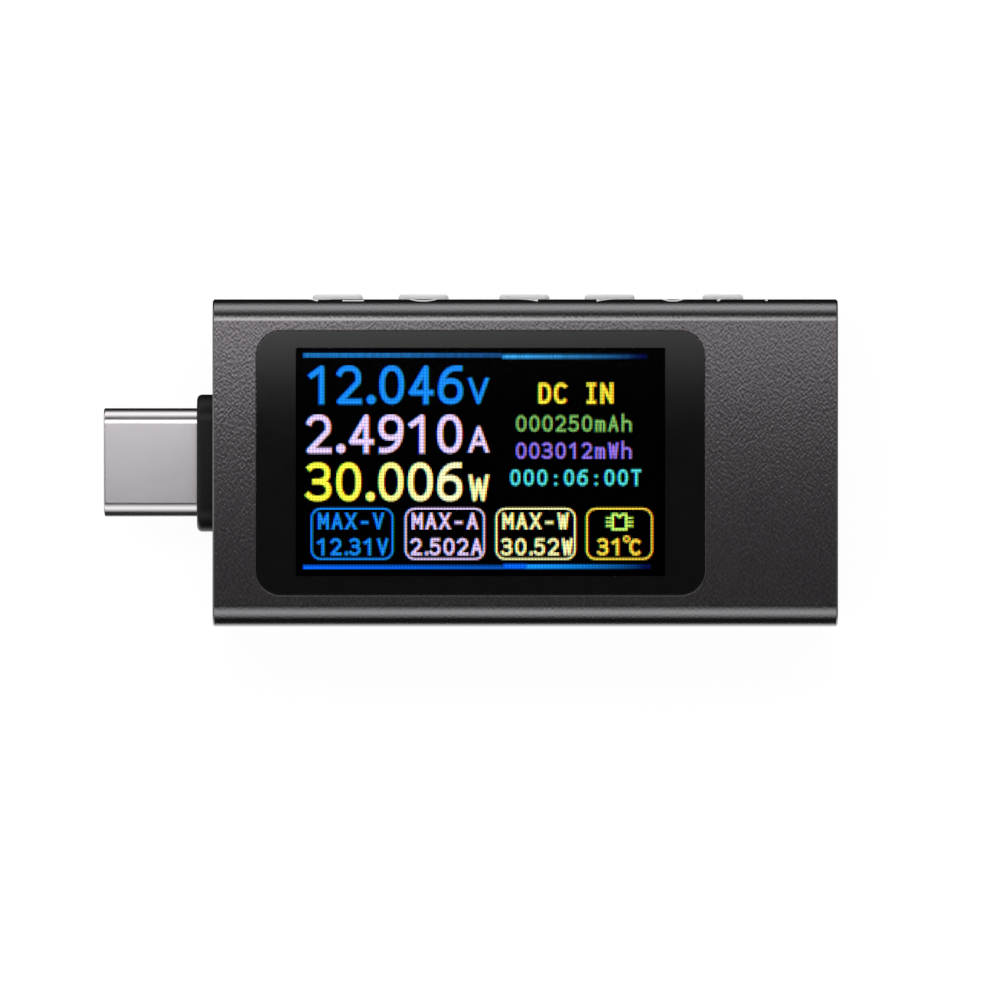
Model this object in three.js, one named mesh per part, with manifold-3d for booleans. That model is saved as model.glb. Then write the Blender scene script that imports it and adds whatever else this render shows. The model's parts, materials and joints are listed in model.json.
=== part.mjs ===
// USB power meter: an aluminium sleeve closed by two plastic end caps. A USB-C
// plug leaves the -X end, a USB-C receptacle opens at the +X end, a colour
// display lies behind a window in the +Z face, and four push buttons and a
// slide switch stand out of the +Y side. Millimetres, +Z up. The origin is the
// centre of the back face, on which the meter lies.

import * as THREE from 'three';
import { mergeVertices } from 'three/addons/utils/BufferGeometryUtils.js';
import Module from 'manifold-3d';

const wasm = await Module();
wasm.setup();

// ---------------------------------------------------------------- dimensions

const FIT = 0.1; // clearance between a piece and the hole that it sits in
const SEAT = 0.05; // thin gap where one piece lies on another
const PAST = 1; // how far a cutting tool runs past the face it opens

// Sleeve, seen from the front: length along X, width along Y, height along Z.
const BODY = { length: 46.75, width: 24.5, height: 10.5, wall: 1.2, edge: 1.7, innerEdge: 0.8 };
const END_X = BODY.length / 2;
const SIDE_Y = BODY.width / 2;
const MID_Z = BODY.height / 2; // plane of the board, plug, receptacle and buttons
const CAVITY = { width: BODY.width - 2 * BODY.wall, height: BODY.height - 2 * BODY.wall };

// Window, its pocket in the front wall, and the display under it.
const WINDOW = { x: -3.345, length: 33.61, width: 19.86, corner: 1.9, gap: 0.08 };
const POCKET_Z = 9.7;
const LENS = { bottom: 9.85, top: 10.45, round: 0.08 };
const TAPE = { bottom: POCKET_Z + 0.02, top: 9.82, inset: 0.3 };
const OPENING = { length: 28.7, width: 17.9, corner: 0.6 };
const PANEL = { fromX: -18.9, toX: 12.2, width: 19.2, bottom: 8.45, top: 9.2 };
const BACKLIGHT = { fromX: -19.3, toX: 12.3, width: 19.8, bottom: 7.35, top: 8.2 };
const BACKLIGHT_LIP = { width: 0.5, height: 0.2 };
const FLEX = { width: 8, thickness: 0.12, startX: 11.2, bendX: 12.6, upper: 8.33, lower: 6.45, endX: 7.6 };
const FLEX_SOCKET = { fromX: 6.9, toX: 9.8, width: 10, top: 6.9, slot: 0.3 };

// Circuit board.
const BOARD = { fromX: -20.7, toX: 21.5, fromY: -10.3, toY: 9.75, thickness: 0.8 };
const BOARD_TOP = MID_Z + BOARD.thickness / 2;
const BOARD_BOTTOM = MID_Z - BOARD.thickness / 2;

// End caps: a plate flush with the sleeve's end and two arms that grip the board.
const CAP = { plate: 1.5, armReach: 4.5, armHeight: 3.2, boardGrip: 0.7 };
const SNAP = { x: END_X - 3.2, length: 1.2, height: 2.2, depth: 0.3 };
const COLLAR = { length: 1.25, width: 10.3, height: 4.6, corner: 2, round: 0.3 };

// USB-C plug.
const PLUG = { reach: 7, width: 8.25, height: 2.4, wall: 0.3, innerEndX: -21.2 };
const PLUG_TIP_X = -END_X - COLLAR.length - PLUG.reach;
const PLUG_LINER = { recess: 0.325, width: 7.5, height: 1.65, endX: -20.95 };
const PLUG_MOUTH = { width: 6.9, height: 1.3, corner: 0.3 };
const PLUG_WAFER = { fromX: -25.5, toX: -21.2, width: 6.4, low: 0.15, high: 0.6, springs: 4.8, tails: 1.8 };
const LATCH = { fromX: -28.4, barFromX: -24.5, toX: -22.5, outerY: 3.75, arm: 0.25, thickness: 0.2 };
const LATCH_HOOK = { length: 0.8, depth: 0.15 };
const CONTACT = { count: 12, pitch: 0.5, width: 0.25, low: 0.46, high: 0.6 };

// USB-C receptacle.
const PORT = { width: 8.94, height: 3.16, wall: 0.3, fromX: 16.1, toX: 23.3 };
const PORT_BLOCK = { fromX: 17.2, toX: 18.9, width: 8.1, height: 2.35, holeCorner: 0.2 };
const TONGUE = { fromX: 16.2, toX: 22.3, width: 6.69, height: 0.7, corner: 0.25, tails: 1.4 };
const RISER = { toX: 16.9, width: 6.3, height: 0.72 };
const PORT_EAR = { innerY: 4.2, outerY: 5.4, length: 1.6, thickness: 0.25, places: [17.1, 19.6] };

// Push buttons: their X places along the +Y side, and the switches behind them.
const BUTTONS = [
  { name: 'back', x: -14.07 },
  { name: 'ok', x: -7.62 },
  { name: 'left', x: -0.06 },
  { name: 'right', x: 6.34 },
];
const KEY = { length: 3.73, height: 2.2, proud: 0.4, corner: 0.45, round: 0.2, hole: 0.08 };
const FLANGE = { length: 4.7, height: 2.8, thickness: 0.5 };
const FLANGE_OUTER_Y = SIDE_Y - BODY.wall - FIT;
const FLANGE_INNER_Y = FLANGE_OUTER_Y - FLANGE.thickness;
const TACT = { length: 3.6, height: 1.6, fromY: 8, toY: 9.9, well: 0.9 };
const PLUNGER = { length: 1.5, height: 0.7, fromY: 9.3 };
const SOLDER_TAB = { reach: 0.8, depth: 0.8, thickness: 0.15, y: 8.8 };

// Slide switch: shown on; off is one travel towards -X.
const SLIDER = { x: 14.85, travel: 1.5, knobLength: 3.03, flangeLength: 6.4 };
const SLIDER_MID_X = SLIDER.x - SLIDER.travel / 2;
const SLIDE_BODY = { length: 6.2, height: 1.6, fromY: 7.2, toY: 9.9, well: 1.4 };
const LEVER = { length: 1.2, height: 0.9, fromY: 8.7, toY: 11.4 };

// Components on the board: centre, length, width and height. Side +1 is the
// display side, -1 the side towards the back.
const COMPONENTS = [
  { name: 'microcontroller', side: 1, x: -2, y: -1, size: [7, 7, 1], look: 'chip' },
  { name: 'flash_memory', side: 1, x: -9.5, y: -4, size: [5, 4, 0.9], look: 'chip' },
  { name: 'clock_crystal', side: 1, x: 3.8, y: -7, size: [3.2, 2.5, 0.7], look: 'steel' },
  { name: 'measuring_chip', side: -1, x: -1, y: 1, size: [3, 3, 0.8], look: 'chip' },
  { name: 'shunt_resistor', side: -1, x: -1, y: 5.2, size: [6.3, 3.2, 0.7], look: 'copper' },
  { name: 'protocol_chip', side: -1, x: 12.5, y: -2, size: [4, 4, 0.8], look: 'chip' },
  { name: 'power_inductor', side: -1, x: 8, y: -7, size: [4, 4, 2], look: 'ferrite' },
  { name: 'voltage_regulator', side: -1, x: 2, y: -7, size: [3, 3, 0.9], look: 'chip' },
  { name: 'input_capacitor', side: -1, x: -14, y: -5, size: [3.5, 2.8, 1.9], look: 'ceramic' },
  { name: 'output_capacitor', side: -1, x: 12.5, y: 3.2, size: [3.5, 2.8, 1.9], look: 'ceramic' },
  { name: 'bus_transistor_a', side: -1, x: -8.5, y: 4, size: [3.3, 3.3, 0.9], look: 'chip' },
  { name: 'bus_transistor_b', side: -1, x: 6.5, y: 4, size: [3.3, 3.3, 0.9], look: 'chip' },
];

// Soft pads inside: the two under the display, and the film over the back wall.
const FOAM_PADS = [
  { name: 'display_foam_left', x: -16.5, y: -1.5, length: 3, width: 12 },
  { name: 'display_foam_right', x: 10.9, y: -7.5, length: 3, width: 3 },
];
const FILM = { length: 36, width: 20, thickness: 0.15, corner: 1 };

const LOOKS = {
  aluminium: { color: 0x4b494c, roughness: 0.6, metalness: 0.6 },
  blackPlastic: { color: 0x1f1d1e, roughness: 0.45, metalness: 0 },
  keyPlastic: { color: 0xe1dee2, roughness: 0.4, metalness: 0 },
  steel: { color: 0xb8b4b9, roughness: 0.25, metalness: 1 },
  copper: { color: 0xb87a4a, roughness: 0.35, metalness: 1 },
  gold: { color: 0xd9b25a, roughness: 0.3, metalness: 1 },
  glass: { color: 0x16151a, roughness: 0.05, metalness: 0 },
  panel: { color: 0x0a0b10, roughness: 0.2, metalness: 0 },
  whitePlastic: { color: 0xe8e6de, roughness: 0.5, metalness: 0 },
  polyimide: { color: 0xa8641c, roughness: 0.4, metalness: 0 },
  solderMask: { color: 0x123822, roughness: 0.4, metalness: 0 },
  chip: { color: 0x171717, roughness: 0.6, metalness: 0 },
  ferrite: { color: 0x3b3b3e, roughness: 0.7, metalness: 0 },
  ceramic: { color: 0xb48a3c, roughness: 0.5, metalness: 0 },
  foam: { color: 0x242424, roughness: 0.95, metalness: 0 },
};

// --------------------------------------------------------------- shape tools

const CORNER_STEPS = 4; // straight steps in a quarter turn
const vector = (x, y, z) => new THREE.Vector3(x, y, z);
const TURN_ALONG_X = new THREE.Matrix4().makeBasis(vector(0, 1, 0), vector(0, 0, 1), vector(1, 0, 0));
const TURN_ALONG_Y = new THREE.Matrix4().makeBasis(vector(1, 0, 0), vector(0, 0, 1), vector(0, -1, 0));

function roundedRectangle(width, height, radius) {
  const x = width / 2 - radius;
  const y = height / 2 - radius;
  const quarter = Math.PI / 2;
  const outline = new THREE.Shape();
  outline.absarc(x, y, radius, 0, quarter);
  outline.absarc(-x, y, radius, quarter, 2 * quarter);
  outline.absarc(-x, -y, radius, 2 * quarter, 3 * quarter);
  outline.absarc(x, -y, radius, 3 * quarter, 4 * quarter);
  outline.closePath();
  return outline;
}

// The outline of a USB-C connector: flat top and bottom, fully round sides.
function connectorOutline(width, height) {
  const almostHalf = 0.495;
  return roundedRectangle(width, height, height * almostHalf);
}

function extruded(outline, depth, round) {
  const geometry = new THREE.ExtrudeGeometry(outline, {
    depth: depth - 2 * round,
    curveSegments: CORNER_STEPS,
    bevelEnabled: round > 0,
    bevelThickness: round,
    bevelSize: round,
    bevelOffset: -round,
    bevelSegments: 2,
  });
  return geometry.translate(0, 0, round);
}

// An outline in (Y, Z) extruded from one X to another, its centre at (y, z).
function alongX(outline, fromX, toX, [y, z], round = 0) {
  return extruded(outline, toX - fromX, round).applyMatrix4(TURN_ALONG_X).translate(fromX, y, z);
}

// An outline in (X, Z) extruded from one Y to another, its centre at (x, z).
function alongY(outline, fromY, toY, [x, z], round = 0) {
  return extruded(outline, toY - fromY, round).applyMatrix4(TURN_ALONG_Y).translate(x, toY, z);
}

// An outline in (X, Y) extruded from one Z to another, its centre at (x, y).
function alongZ(outline, fromZ, toZ, [x, y], round = 0) {
  return extruded(outline, toZ - fromZ, round).translate(x, y, fromZ);
}

// A block given by its two ends on each axis.
function block([fromX, toX], [fromY, toY], [fromZ, toZ]) {
  const geometry = new THREE.BoxGeometry(toX - fromX, toY - fromY, toZ - fromZ);
  return geometry.translate((fromX + toX) / 2, (fromY + toY) / 2, (fromZ + toZ) / 2);
}

const around = (centre, size) => [centre - size / 2, centre + size / 2];
const ordered = (a, b) => [Math.min(a, b), Math.max(a, b)];

function toSolid(geometry) {
  const bare = geometry.clone();
  bare.deleteAttribute('normal');
  bare.deleteAttribute('uv');
  const merged = mergeVertices(bare);
  return new wasm.Manifold(new wasm.Mesh({
    numProp: 3,
    vertProperties: new Float32Array(merged.attributes.position.array),
    triVerts: new Uint32Array(merged.index.array),
  }));
}

function toGeometry(solid) {
  const mesh = solid.getMesh();
  const geometry = new THREE.BufferGeometry();
  geometry.setAttribute('position', new THREE.BufferAttribute(mesh.vertProperties, 3));
  geometry.setIndex(new THREE.BufferAttribute(mesh.triVerts, 1));
  geometry.computeVertexNormals();
  return geometry;
}

function combined(base, operation, tools) {
  let solid = toSolid(base);
  for (const tool of tools) {
    solid = solid[operation](toSolid(tool));
  }
  return toGeometry(solid);
}

const cut = (base, ...tools) => combined(base, 'subtract', tools);
const joined = (base, ...others) => combined(base, 'add', others);

const meter = new THREE.Group();

function addPart(name, geometry, look) {
  const mesh = new THREE.Mesh(geometry, new THREE.MeshStandardMaterial(LOOKS[look]));
  mesh.name = name;
  meter.add(mesh);
}

// --------------------------------------------------------------- housing

function keyHole(length, centreX) {
  const outline = roundedRectangle(length, KEY.height + 2 * KEY.hole, KEY.corner + KEY.hole);
  return alongY(outline, SIDE_Y - BODY.wall - PAST, SIDE_Y + PAST, [centreX, MID_Z]);
}

// Shallow recess in the sleeve's side wall, into which a cap's arm snaps.
function snapRecess(endSide, wallSide) {
  const innerY = CAVITY.width / 2;
  return block(
    around(endSide * SNAP.x, SNAP.length + 2 * FIT),
    ordered(wallSide * (innerY - PAST), wallSide * (innerY + SNAP.depth + FIT)),
    around(MID_Z, SNAP.height + 2 * FIT),
  );
}

function housingSleeve() {
  const tube = roundedRectangle(BODY.width, BODY.height, BODY.edge);
  tube.holes.push(roundedRectangle(CAVITY.width, CAVITY.height, BODY.innerEdge));
  const windowPocket = roundedRectangle(WINDOW.length, WINDOW.width, WINDOW.corner);
  const displayOpening = roundedRectangle(OPENING.length, OPENING.width, OPENING.corner);
  const above = BODY.height + PAST;
  return cut(
    alongX(tube, -END_X, END_X, [0, MID_Z]),
    alongZ(windowPocket, POCKET_Z, above, [WINDOW.x, 0]),
    alongZ(displayOpening, BODY.height - BODY.wall - PAST, above, [WINDOW.x, 0]),
    ...BUTTONS.map((button) => keyHole(KEY.length + 2 * KEY.hole, button.x)),
    keyHole(SLIDER.knobLength + SLIDER.travel + 2 * KEY.hole, SLIDER_MID_X),
    ...[-1, 1].flatMap((endSide) => [-1, 1].map((wallSide) => snapRecess(endSide, wallSide))),
  );
}

// One arm of an end cap, with its groove for the board's edge and its snap.
function capArm(endSide, wallSide) {
  const wallY = CAVITY.width / 2 - FIT;
  const boardEdge = wallSide > 0 ? BOARD.toY : -BOARD.fromY;
  const freeY = boardEdge - CAP.boardGrip;
  const plateX = END_X - CAP.plate;
  const tipX = END_X - CAP.armReach;
  const arm = block(
    ordered(endSide * tipX, endSide * (plateX + FIT)),
    ordered(wallSide * freeY, wallSide * wallY),
    around(MID_Z, CAP.armHeight),
  );
  const groove = block(
    ordered(endSide * (tipX - PAST), endSide * (plateX - FIT)),
    ordered(wallSide * (freeY - PAST), wallSide * (boardEdge + FIT)),
    around(MID_Z, BOARD.thickness + 2 * SEAT),
  );
  const snap = block(
    around(endSide * SNAP.x, SNAP.length),
    ordered(wallSide * (wallY - FIT), wallSide * (CAVITY.width / 2 + SNAP.depth)),
    around(MID_Z, SNAP.height),
  );
  return joined(cut(arm, groove), snap);
}

// The plate that closes one end of the sleeve, with its two arms.
function capBlank(endSide) {
  const outline = roundedRectangle(
    CAVITY.width - 2 * FIT, CAVITY.height - 2 * FIT, BODY.innerEdge - FIT);
  const [fromX, toX] = ordered(endSide * (END_X - CAP.plate), endSide * END_X);
  return joined(
    alongX(outline, fromX, toX, [0, MID_Z]),
    capArm(endSide, -1),
    capArm(endSide, 1),
  );
}

function plugEndCap() {
  const collar = roundedRectangle(COLLAR.width, COLLAR.height, COLLAR.corner);
  const hole = connectorOutline(PLUG.width + 2 * FIT, PLUG.height + 2 * FIT);
  const collarFaceX = -END_X - COLLAR.length;
  return cut(
    joined(
      capBlank(-1),
      alongX(collar, collarFaceX, -END_X + CAP.plate / 2, [0, MID_Z], COLLAR.round),
    ),
    alongX(hole, collarFaceX - PAST, -END_X + CAP.plate + PAST, [0, MID_Z]),
  );
}

function portEndCap() {
  const hole = connectorOutline(PORT.width + 2 * FIT, PORT.height + 2 * FIT);
  return cut(
    capBlank(1),
    alongX(hole, END_X - CAP.plate - PAST, END_X + PAST, [0, MID_Z]),
  );
}

addPart('housing_sleeve', housingSleeve(), 'aluminium');
addPart('plug_end_cap', plugEndCap(), 'blackPlastic');
addPart('port_end_cap', portEndCap(), 'blackPlastic');

// --------------------------------------------------------------- window and display

function displayWindow() {
  const outline = roundedRectangle(
    WINDOW.length - 2 * WINDOW.gap, WINDOW.width - 2 * WINDOW.gap, WINDOW.corner - WINDOW.gap);
  return alongZ(outline, LENS.bottom, LENS.top, [WINDOW.x, 0], LENS.round);
}

// The double-sided tape ring that holds the window on the pocket's ledge.
function windowTape() {
  const ring = roundedRectangle(
    WINDOW.length - 2 * TAPE.inset, WINDOW.width - 2 * TAPE.inset, WINDOW.corner - TAPE.inset);
  ring.holes.push(roundedRectangle(OPENING.length + FIT, OPENING.width + FIT, OPENING.corner));
  return alongZ(ring, TAPE.bottom, TAPE.top, [WINDOW.x, 0]);
}

function displayPanel() {
  return block([PANEL.fromX, PANEL.toX], around(0, PANEL.width), [PANEL.bottom, PANEL.top]);
}

// The backlight's tray, with a shallow lip round its light guide.
function displayBacklight() {
  const tray = block(
    [BACKLIGHT.fromX, BACKLIGHT.toX], around(0, BACKLIGHT.width), [BACKLIGHT.bottom, BACKLIGHT.top]);
  const hollow = block(
    [BACKLIGHT.fromX + BACKLIGHT_LIP.width, BACKLIGHT.toX - BACKLIGHT_LIP.width],
    around(0, BACKLIGHT.width - 2 * BACKLIGHT_LIP.width),
    [BACKLIGHT.top - BACKLIGHT_LIP.height, BACKLIGHT.top + PAST],
  );
  return cut(tray, hollow);
}

// The flex leaves the panel's edge, folds down in a half turn and runs back
// under the backlight to its socket on the board.
function displayFlex() {
  const half = FLEX.thickness / 2;
  const middleZ = (FLEX.upper + FLEX.lower) / 2;
  const bendRadius = (FLEX.upper - FLEX.lower) / 2;
  const quarter = Math.PI / 2;
  const strip = new THREE.Shape();
  strip.moveTo(FLEX.startX, FLEX.upper + half);
  strip.absarc(FLEX.bendX, middleZ, bendRadius + half, quarter, -quarter, true);
  strip.lineTo(FLEX.endX, FLEX.lower - half);
  strip.lineTo(FLEX.endX, FLEX.lower + half);
  strip.absarc(FLEX.bendX, middleZ, bendRadius - half, -quarter, quarter, false);
  strip.lineTo(FLEX.startX, FLEX.upper - half);
  strip.closePath();
  return alongY(strip, -FLEX.width / 2, FLEX.width / 2, [0, 0]);
}

function flexSocket() {
  const socket = block(
    [FLEX_SOCKET.fromX, FLEX_SOCKET.toX],
    around(0, FLEX_SOCKET.width),
    [BOARD_TOP + SEAT, FLEX_SOCKET.top],
  );
  const slot = block(
    [FLEX.endX - FIT, FLEX_SOCKET.toX + PAST],
    around(0, FLEX.width + 2 * FIT),
    around(FLEX.lower, FLEX_SOCKET.slot),
  );
  return cut(socket, slot);
}

addPart('display_window', displayWindow(), 'glass');
addPart('window_tape', windowTape(), 'blackPlastic');
addPart('display_panel', displayPanel(), 'panel');
addPart('display_backlight', displayBacklight(), 'whitePlastic');
addPart('display_flex', displayFlex(), 'polyimide');
addPart('flex_socket', flexSocket(), 'whitePlastic');

// --------------------------------------------------------------- circuit board

// A notch in the board's +Y edge, for a switch that sits in the board's plane.
function boardNotch(centreX, length, fromY) {
  return block(
    around(centreX, length + 2 * FIT),
    [fromY - FIT, BOARD.toY + PAST],
    around(MID_Z, BOARD.thickness + PAST),
  );
}

function circuitBoard() {
  const plate = block(
    [BOARD.fromX, BOARD.toX], [BOARD.fromY, BOARD.toY], [BOARD_BOTTOM, BOARD_TOP]);
  const portNotch = block(
    [PORT.fromX - FIT, BOARD.toX + PAST],
    around(0, PORT.width + 3 * FIT),
    around(MID_Z, BOARD.thickness + PAST),
  );
  return cut(
    plate,
    portNotch,
    ...BUTTONS.map((button) => boardNotch(button.x, TACT.length, TACT.fromY)),
    boardNotch(SLIDER_MID_X, SLIDE_BODY.length, SLIDE_BODY.fromY),
  );
}

function component({ side, x, y, size: [length, width, height] }) {
  const face = side > 0 ? BOARD_TOP : BOARD_BOTTOM;
  return block(
    around(x, length),
    around(y, width),
    ordered(face + side * SEAT, face + side * (SEAT + height)),
  );
}

addPart('main_board', circuitBoard(), 'solderMask');
for (const part of COMPONENTS) {
  addPart(part.name, component(part), part.look);
}
for (const { name, x, y, length, width } of FOAM_PADS) {
  const pad = block(
    around(x, length), around(y, width), [BOARD_TOP + SEAT, BACKLIGHT.bottom - SEAT]);
  addPart(name, pad, 'foam');
}
addPart(
  'insulating_film',
  alongZ(
    roundedRectangle(FILM.length, FILM.width, FILM.corner),
    BODY.wall + SEAT, BODY.wall + SEAT + FILM.thickness, [0, 0]),
  'polyimide',
);

// --------------------------------------------------------------- USB-C plug

function connectorShell(width, height, wall, fromX, toX) {
  const ring = connectorOutline(width, height);
  ring.holes.push(connectorOutline(width - 2 * wall, height - 2 * wall));
  return alongX(ring, fromX, toX, [0, MID_Z]);
}

// The plastic liner of the plug, slotted at both sides for the latch's arms.
function plugLiner() {
  const tube = connectorOutline(PLUG_LINER.width, PLUG_LINER.height);
  tube.holes.push(roundedRectangle(PLUG_MOUTH.width, PLUG_MOUTH.height, PLUG_MOUTH.corner));
  const latchSlot = block(
    [LATCH.fromX - 2 * FIT, PLUG_LINER.endX + PAST],
    around(0, PLUG.width),
    around(MID_Z, LATCH.thickness + 2 * FIT),
  );
  return cut(
    alongX(tube, PLUG_TIP_X + PLUG_LINER.recess, PLUG_LINER.endX, [0, MID_Z]),
    latchSlot,
  );
}

// A row of contact strips between two X places, their layer above the mid plane.
function contactRow(fromX, toX, side) {
  const layer = ordered(MID_Z + side * CONTACT.low, MID_Z + side * CONTACT.high);
  const firstY = -CONTACT.pitch * (CONTACT.count - 1) / 2;
  return Array.from({ length: CONTACT.count }, (_, index) =>
    block([fromX, toX], around(firstY + index * CONTACT.pitch, CONTACT.width), layer));
}

// One contact wafer of the plug: the moulded block, its springs and its tails.
function plugWafer(side) {
  const moulded = block(
    [PLUG_WAFER.fromX, PLUG_WAFER.toX],
    around(0, PLUG_WAFER.width),
    ordered(MID_Z + side * PLUG_WAFER.low, MID_Z + side * PLUG_WAFER.high),
  );
  return joined(
    moulded,
    ...contactRow(PLUG_WAFER.fromX - PLUG_WAFER.springs, PLUG_WAFER.toX + PLUG_WAFER.tails, side),
  );
}

// The steel latch: a plate between the wafers with a hooked arm at each side.
function plugLatch() {
  const innerY = LATCH.outerY - LATCH.arm;
  const hookY = innerY - LATCH_HOOK.depth;
  const hookEndX = LATCH.fromX + LATCH_HOOK.length;
  const plate = new THREE.Shape();
  plate.moveTo(LATCH.toX, -LATCH.outerY);
  plate.lineTo(LATCH.toX, LATCH.outerY);
  plate.lineTo(LATCH.fromX, LATCH.outerY);
  plate.lineTo(LATCH.fromX, hookY);
  plate.lineTo(hookEndX, hookY);
  plate.lineTo(hookEndX, innerY);
  plate.lineTo(LATCH.barFromX, innerY);
  plate.lineTo(LATCH.barFromX, -innerY);
  plate.lineTo(hookEndX, -innerY);
  plate.lineTo(hookEndX, -hookY);
  plate.lineTo(LATCH.fromX, -hookY);
  plate.lineTo(LATCH.fromX, -LATCH.outerY);
  plate.closePath();
  return alongZ(plate, MID_Z - LATCH.thickness / 2, MID_Z + LATCH.thickness / 2, [0, 0]);
}

addPart(
  'plug_shell',
  connectorShell(PLUG.width, PLUG.height, PLUG.wall, PLUG_TIP_X, PLUG.innerEndX),
  'steel',
);
addPart('plug_liner', plugLiner(), 'blackPlastic');
addPart('plug_contacts_upper', plugWafer(1), 'gold');
addPart('plug_contacts_lower', plugWafer(-1), 'gold');
addPart('plug_latch', plugLatch(), 'steel');

// --------------------------------------------------------------- USB-C receptacle

// The steel shell, with ears that are soldered on the board beside it.
function receptacleShell() {
  const earTop = BOARD_TOP + SEAT + PORT_EAR.thickness;
  const ears = PORT_EAR.places.flatMap((x) => [-1, 1].map((side) => block(
    [x, x + PORT_EAR.length],
    ordered(side * PORT_EAR.innerY, side * PORT_EAR.outerY),
    [BOARD_TOP + SEAT, earTop],
  )));
  return joined(
    connectorShell(PORT.width, PORT.height, PORT.wall, PORT.fromX, PORT.toX),
    ...ears,
  );
}

function receptacleBlock() {
  const ring = connectorOutline(PORT_BLOCK.width, PORT_BLOCK.height);
  ring.holes.push(roundedRectangle(TONGUE.width + 2 * FIT, TONGUE.height + 2 * FIT, PORT_BLOCK.holeCorner));
  return alongX(ring, PORT_BLOCK.fromX, PORT_BLOCK.toX, [0, MID_Z]);
}

// The contact tongue, with the riser and tails that reach the board behind it.
function receptacleTongue() {
  const tongue = roundedRectangle(TONGUE.width, TONGUE.height, TONGUE.corner);
  const riser = block(
    [TONGUE.fromX, RISER.toX],
    around(0, RISER.width),
    [MID_Z - TONGUE.height / 2 + FIT, MID_Z + RISER.height],
  );
  return joined(
    alongX(tongue, TONGUE.fromX, TONGUE.toX, [0, MID_Z]),
    riser,
    ...contactRow(TONGUE.fromX - TONGUE.tails, TONGUE.fromX + FIT, 1),
  );
}

addPart('receptacle_shell', receptacleShell(), 'steel');
addPart('receptacle_block', receptacleBlock(), 'blackPlastic');
addPart('receptacle_tongue', receptacleTongue(), 'blackPlastic');

// --------------------------------------------------------------- buttons and switch

// A key through the sleeve's side wall, kept in by its flange behind the wall.
function key(length, flangeLength, centreX) {
  const face = roundedRectangle(length, KEY.height, KEY.corner);
  const outerY = SIDE_Y + KEY.proud;
  return joined(
    alongY(face, FLANGE_INNER_Y, outerY, [centreX, MID_Z], KEY.round),
    block(
      around(centreX, flangeLength),
      [FLANGE_INNER_Y, FLANGE_OUTER_Y],
      around(MID_Z, FLANGE.height),
    ),
  );
}

// Solder tabs on the board's top, one at each end of a switch body.
function solderTabs(centreX, length) {
  return [-1, 1].map((side) => block(
    ordered(centreX + side * (length / 2 - FIT), centreX + side * (length / 2 + SOLDER_TAB.reach)),
    around(SOLDER_TAB.y, SOLDER_TAB.depth),
    [BOARD_TOP + SEAT, BOARD_TOP + SEAT + SOLDER_TAB.thickness],
  ));
}

// A switch body in the board's plane, with a well for the piece that moves in it.
function switchBody(centreX, size, wellCentreX, wellLength, wellHeight) {
  const body = block(
    around(centreX, size.length), [size.fromY, size.toY], around(MID_Z, size.height));
  const well = block(
    around(wellCentreX, wellLength + 2 * FIT),
    [size.toY - size.well, size.toY + PAST],
    around(MID_Z, wellHeight + 2 * FIT),
  );
  return cut(joined(body, ...solderTabs(centreX, size.length)), well);
}

function plunger(centreX) {
  return block(
    around(centreX, PLUNGER.length),
    [PLUNGER.fromY, FLANGE_INNER_Y - SEAT],
    around(MID_Z, PLUNGER.height),
  );
}

function switchLever() {
  return block(
    around(SLIDER.x, LEVER.length), [LEVER.fromY, LEVER.toY], around(MID_Z, LEVER.height));
}

function switchKnob() {
  const socket = block(
    around(SLIDER.x, LEVER.length + 2 * SEAT),
    [FLANGE_INNER_Y - PAST, LEVER.toY + SEAT],
    around(MID_Z, LEVER.height + 2 * SEAT),
  );
  return cut(key(SLIDER.knobLength, SLIDER.flangeLength, SLIDER.x), socket);
}

for (const button of BUTTONS) {
  addPart(`${button.name}_button`, key(KEY.length, FLANGE.length, button.x), 'keyPlastic');
  addPart(`${button.name}_plunger`, plunger(button.x), 'blackPlastic');
  addPart(
    `${button.name}_switch`,
    switchBody(button.x, TACT, button.x, PLUNGER.length, PLUNGER.height),
    'steel',
  );
}
addPart('slide_knob', switchKnob(), 'keyPlastic');
addPart('slide_lever', switchLever(), 'blackPlastic');
addPart(
  'slide_switch',
  switchBody(SLIDER_MID_X, SLIDE_BODY, SLIDER_MID_X, LEVER.length + SLIDER.travel, LEVER.height),
  'steel',
);

export default meter;
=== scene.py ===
import json
import math

import bmesh
import bpy
import numpy as np
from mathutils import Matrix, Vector


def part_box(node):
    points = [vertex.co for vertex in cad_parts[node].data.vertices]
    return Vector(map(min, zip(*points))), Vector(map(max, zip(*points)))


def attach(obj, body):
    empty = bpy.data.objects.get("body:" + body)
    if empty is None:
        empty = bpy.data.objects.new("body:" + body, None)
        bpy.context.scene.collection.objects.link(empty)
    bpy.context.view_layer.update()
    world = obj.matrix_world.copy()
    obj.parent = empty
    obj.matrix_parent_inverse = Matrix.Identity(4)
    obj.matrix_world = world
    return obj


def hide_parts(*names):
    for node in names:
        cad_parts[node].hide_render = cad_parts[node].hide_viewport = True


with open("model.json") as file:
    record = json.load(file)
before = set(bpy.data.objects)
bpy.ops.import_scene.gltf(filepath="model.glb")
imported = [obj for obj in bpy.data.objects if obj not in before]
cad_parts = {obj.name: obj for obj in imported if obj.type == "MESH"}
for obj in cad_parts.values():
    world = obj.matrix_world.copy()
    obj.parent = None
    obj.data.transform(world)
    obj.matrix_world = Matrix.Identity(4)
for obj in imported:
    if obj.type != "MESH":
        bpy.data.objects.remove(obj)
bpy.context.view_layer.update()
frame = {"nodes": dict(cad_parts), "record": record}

# Looks of a USB power meter. Shapes are drawn in millimetres in the CAD's frame
# and turned into metres when their mesh is made.
MM = 0.001


def box_mm(node):
    """Lowest and highest corner of a CAD node, in millimetres."""
    low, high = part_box(node)
    return Vector(low) / MM, Vector(high) / MM


# ---- dimensions

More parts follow.
